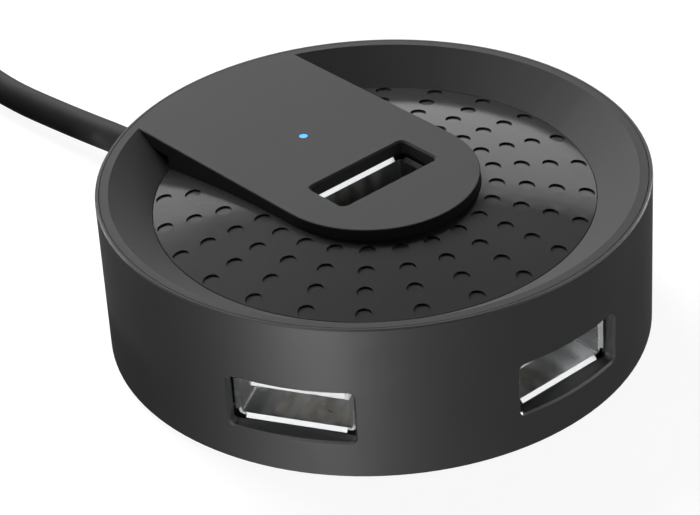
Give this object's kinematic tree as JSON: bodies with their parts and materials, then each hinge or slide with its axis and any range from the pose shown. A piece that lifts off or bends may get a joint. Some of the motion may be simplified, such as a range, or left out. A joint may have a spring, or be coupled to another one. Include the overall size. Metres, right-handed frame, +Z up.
{
  "type": "usb hub",
  "caption": "Round desktop USB hub: a low drum with a dished dimpled lid, a raised tongue with a socket and status lamp, sockets round the wall, and a coiled lead with its plug.",
  "frame": {"origin": "middle of the drum, on the surface that its feet stand on", "axes": "+Z up; -Y towards the tongue's round end and the front socket; the lead leaves the drum towards +Y"},
  "size_m": [0.0849, 0.1561, 0.0193],
  "materials": {
    "drum_plastic": "satin black ABS, very fine grain",
    "lid_plastic": "matt dark grey ABS",
    "panel_plastic": "polished black ABS with dimples",
    "base_plastic": "fine-textured black ABS",
    "socket_steel": "bright nickel-plated folded steel",
    "socket_insulator": "white moulded nylon",
    "contact_metal": "gold-plated bronze",
    "board_laminate": "green solder mask over glass laminate",
    "chip_plastic": "black epoxy with tinned leads",
    "can_metal": "bright drawn can",
    "ceramic": "fired ceramic with tinned ends",
    "resistor_black": "glazed chip with tinned ends",
    "fuse_body": "coated polymer fuse",
    "lamp_body": "white moulded seat with a clear lens",
    "light_pipe": "clear acrylic lit blue",
    "screw_steel": "zinc-plated steel",
    "foot_rubber": "soft black rubber",
    "lead_pvc": "matt black flexible PVC",
    "core_pvc": "coloured PVC insulation, red, white, green and black",
    "tie_plastic": "black woven strap",
    "grip_pvc": "matt black moulded PVC",
    "plug_steel": "bright nickel-plated folded steel",
    "plug_insulator": "white moulded nylon"
  },
  "bodies": {
    "root": {"base_cover": "base_plastic", "board_screws": "screw_steel", "bulk_capacitor": "can_metal", "cable_gland": "grip_pvc", "case_screws": "screw_steel", "ceramic_capacitors": "ceramic", "chip_resistors": "resistor_black", "coil_tie": "tie_plastic", "crystal": "can_metal", "dimpled_panel": "panel_plastic", "front_socket_contacts": "contact_metal", "front_socket_insulator": "socket_insulator", "front_socket_shell": "socket_steel", "hub_chip": "chip_plastic", "inner_wires": "core_pvc", "lead_coil": "lead_pvc", "lead_tail": "lead_pvc", "left_socket_contacts": "contact_metal", "left_socket_insulator": "socket_insulator", "left_socket_shell": "socket_steel", "light_pipe": "light_pipe", "main_board": "board_laminate", "outer_shell": "drum_plastic", "plug_contacts": "contact_metal", "plug_grip": "grip_pvc", "plug_insulator": "plug_insulator", "plug_shell": "plug_steel", "right_socket_contacts": "contact_metal", "right_socket_insulator": "socket_insulator", "right_socket_shell": "socket_steel", "rubber_feet": "foot_rubber", "status_lamp": "lamp_body", "supply_fuse": "fuse_body", "top_cover": "lid_plastic", "top_socket_contacts": "contact_metal", "top_socket_insulator": "socket_insulator", "top_socket_shell": "socket_steel", "usb_lead": "lead_pvc"}
  },
  "joints": []
}
